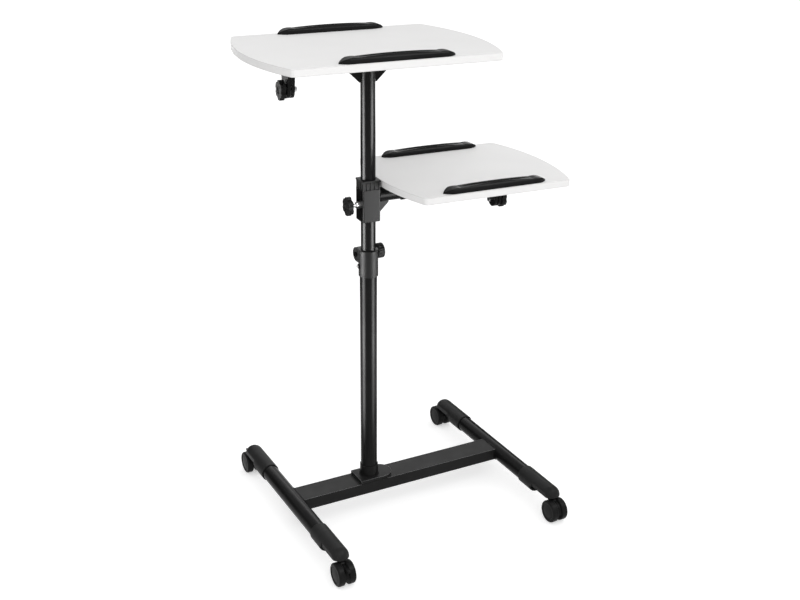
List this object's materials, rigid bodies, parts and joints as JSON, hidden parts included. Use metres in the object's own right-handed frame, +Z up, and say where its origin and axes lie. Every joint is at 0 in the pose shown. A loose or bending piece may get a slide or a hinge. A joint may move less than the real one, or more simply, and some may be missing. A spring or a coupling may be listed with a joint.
{
  "type": "projector table",
  "caption": "Mobile projector table on twin-wheel casters: a tilting upper board on a telescopic column and a tilting side shelf on a sliding arm.",
  "frame": {"origin": "On the floor, under the middle of the whole table's bounding box.", "axes": "+Z up, +X along the crossbar towards the side shelf, +Y towards the rear, away from the side of the pictured view."},
  "size_m": [0.6892, 0.586, 1.0924],
  "materials": {
    "black_steel": "black powder coat, satin",
    "black_plastic": "moulded black plastic",
    "knob_plastic": "moulded black plastic with a slight sheen",
    "ledge_plastic": "soft matt black plastic",
    "white_board": "board with a smooth off-white laminate and edge band",
    "bright_steel": "bright plated steel",
    "caster_plastic": "moulded black nylon",
    "caster_wheel": "moulded black nylon"
  },
  "bodies": {
    "base": {"crossbar": "black_steel", "foot_left": "black_steel", "foot_right": "black_steel", "cap_front_left": "black_plastic", "cap_rear_left": "black_plastic", "cap_front_right": "black_plastic", "cap_rear_right": "black_plastic", "base_plate": "black_steel", "column_socket": "black_steel", "lower_mast": "black_steel", "clamp_collar": "black_plastic"},
    "collar_knob": {"collar_knob": "knob_plastic", "collar_bolt": "black_steel"},
    "mast": {"mast": "black_steel", "cross_tube": "black_steel", "cross_tube_plug_left": "black_plastic", "cross_tube_plug_right": "black_plastic", "mast_gusset_left": "black_steel", "mast_gusset_right": "black_steel"},
    "upper_table": {"table_board": "white_board", "table_front_ledge": "ledge_plastic", "table_rear_ledge": "ledge_plastic", "table_clamp_bracket": "black_steel", "table_saddle": "black_steel"},
    "table_tilt_knob": {"table_tilt_knob": "knob_plastic", "table_tilt_bolt": "bright_steel"},
    "shelf_carrier": {"shelf_sleeve": "black_steel", "shelf_bush": "black_plastic", "sleeve_nut": "bright_steel", "shelf_arm": "black_steel", "arm_plug": "black_plastic", "arm_gusset": "black_steel"},
    "sleeve_knob": {"sleeve_knob": "knob_plastic", "sleeve_stud": "bright_steel"},
    "side_shelf": {"shelf_board": "white_board", "shelf_front_ledge": "ledge_plastic", "shelf_rear_ledge": "ledge_plastic", "shelf_clamp_bracket": "black_steel", "shelf_saddle": "black_steel"},
    "shelf_tilt_knob": {"shelf_tilt_knob": "knob_plastic", "shelf_tilt_bolt": "bright_steel"},
    "caster_front_left": {"caster_front_left_housing": "caster_plastic"},
    "caster_front_left_wheel_left": {"caster_front_left_wheel_left": "caster_wheel"},
    "caster_front_left_wheel_right": {"caster_front_left_wheel_right": "caster_wheel"},
    "caster_front_right": {"caster_front_right_housing": "caster_plastic"},
    "caster_front_right_wheel_left": {"caster_front_right_wheel_left": "caster_wheel"},
    "caster_front_right_wheel_right": {"caster_front_right_wheel_right": "caster_wheel"},
    "caster_rear_left": {"caster_rear_left_housing": "caster_plastic"},
    "caster_rear_left_wheel_left": {"caster_rear_left_wheel_left": "caster_wheel"},
    "caster_rear_left_wheel_right": {"caster_rear_left_wheel_right": "caster_wheel"},
    "caster_rear_right": {"caster_rear_right_housing": "caster_plastic"},
    "caster_rear_right_wheel_left": {"caster_rear_right_wheel_left": "caster_wheel"},
    "caster_rear_right_wheel_right": {"caster_rear_right_wheel_right": "caster_wheel"}
  },
  "joints": [
    {"name": "mast_height", "type": "slide", "parent": "base", "child": "mast", "axis": [0, 0, 1], "range_m": [-0.06, 0.1]},
    {"name": "shelf_height", "type": "slide", "parent": "mast", "child": "shelf_carrier", "axis": [0, 0, -1], "range_m": [-0.19, 0.06]},
    {"name": "table_tilt", "type": "hinge", "parent": "mast", "child": "upper_table", "pos_m": [-0.07848, 0, 1.0444], "axis": [0.9974, -0.0715, 0], "range_deg": [-35, 35]},
    {"name": "shelf_tilt", "type": "hinge", "parent": "shelf_carrier", "child": "side_shelf", "pos_m": [0.1452, -0.01211, 0.7583], "axis": [0.9985, -0.0541, 0], "range_deg": [-35, 35]},
    {"name": "collar_knob_turn", "type": "hinge", "parent": "base", "child": "collar_knob", "pos_m": [-0.06618, 0.027, 0.619], "axis": [1, 0, 0], "range_deg": [0, 360]},
    {"name": "sleeve_knob_turn", "type": "hinge", "parent": "shelf_carrier", "child": "sleeve_knob", "pos_m": [-0.11642, 0.00205, 0.7398], "axis": [-0.9985, 0.0541, 0], "range_deg": [0, 360]},
    {"name": "table_tilt_knob_turn", "type": "hinge", "parent": "upper_table", "child": "table_tilt_knob", "pos_m": [-0.25732, 0.01282, 0.9994], "axis": [-0.9974, 0.0715, 0], "range_deg": [0, 360]},
    {"name": "shelf_tilt_knob_turn", "type": "hinge", "parent": "side_shelf", "child": "shelf_tilt_knob", "pos_m": [0.23836, -0.01716, 0.7133], "axis": [0.9985, -0.0541, 0], "range_deg": [0, 360]},
    {"name": "caster_front_left_swivel", "type": "hinge", "parent": "base", "child": "caster_front_left", "pos_m": [-0.27148, -0.243, 0.057], "axis": [0, 0, 1], "continuous": true},
    {"name": "caster_front_left_wheel_left_spin", "type": "hinge", "parent": "caster_front_left", "child": "caster_front_left_wheel_left", "pos_m": [-0.27148, -0.263, 0.026], "axis": [1, 0, 0], "continuous": true},
    {"name": "caster_front_left_wheel_right_spin", "type": "hinge", "parent": "caster_front_left", "child": "caster_front_left_wheel_right", "pos_m": [-0.27148, -0.263, 0.026], "axis": [1, 0, 0], "continuous": true},
    {"name": "caster_front_right_swivel", "type": "hinge", "parent": "base", "child": "caster_front_right", "pos_m": [0.26852, -0.243, 0.057], "axis": [0, 0, 1], "continuous": true},
    {"name": "caster_front_right_wheel_left_spin", "type": "hinge", "parent": "caster_front_right", "child": "caster_front_right_wheel_left", "pos_m": [0.26852, -0.263, 0.026], "axis": [1, 0, 0], "continuous": true},
    {"name": "caster_front_right_wheel_right_spin", "type": "hinge", "parent": "caster_front_right", "child": "caster_front_right_wheel_right", "pos_m": [0.26852, -0.263, 0.026], "axis": [1, 0, 0], "continuous": true},
    {"name": "caster_rear_left_swivel", "type": "hinge", "parent": "base", "child": "caster_rear_left", "pos_m": [-0.27148, 0.243, 0.057], "axis": [0, 0, 1], "continuous": true},
    {"name": "caster_rear_left_wheel_left_spin", "type": "hinge", "parent": "caster_rear_left", "child": "caster_rear_left_wheel_left", "pos_m": [-0.27148, 0.263, 0.026], "axis": [1, 0, 0], "continuous": true},
    {"name": "caster_rear_left_wheel_right_spin", "type": "hinge", "parent": "caster_rear_left", "child": "caster_rear_left_wheel_right", "pos_m": [-0.27148, 0.263, 0.026], "axis": [1, 0, 0], "continuous": true},
    {"name": "caster_rear_right_swivel", "type": "hinge", "parent": "base", "child": "caster_rear_right", "pos_m": [0.26852, 0.243, 0.057], "axis": [0, 0, 1], "continuous": true},
    {"name": "caster_rear_right_wheel_left_spin", "type": "hinge", "parent": "caster_rear_right", "child": "caster_rear_right_wheel_left", "pos_m": [0.26852, 0.263, 0.026], "axis": [1, 0, 0], "continuous": true},
    {"name": "caster_rear_right_wheel_right_spin", "type": "hinge", "parent": "caster_rear_right", "child": "caster_rear_right_wheel_right", "pos_m": [0.26852, 0.263, 0.026], "axis": [1, 0, 0], "continuous": true}
  ]
}
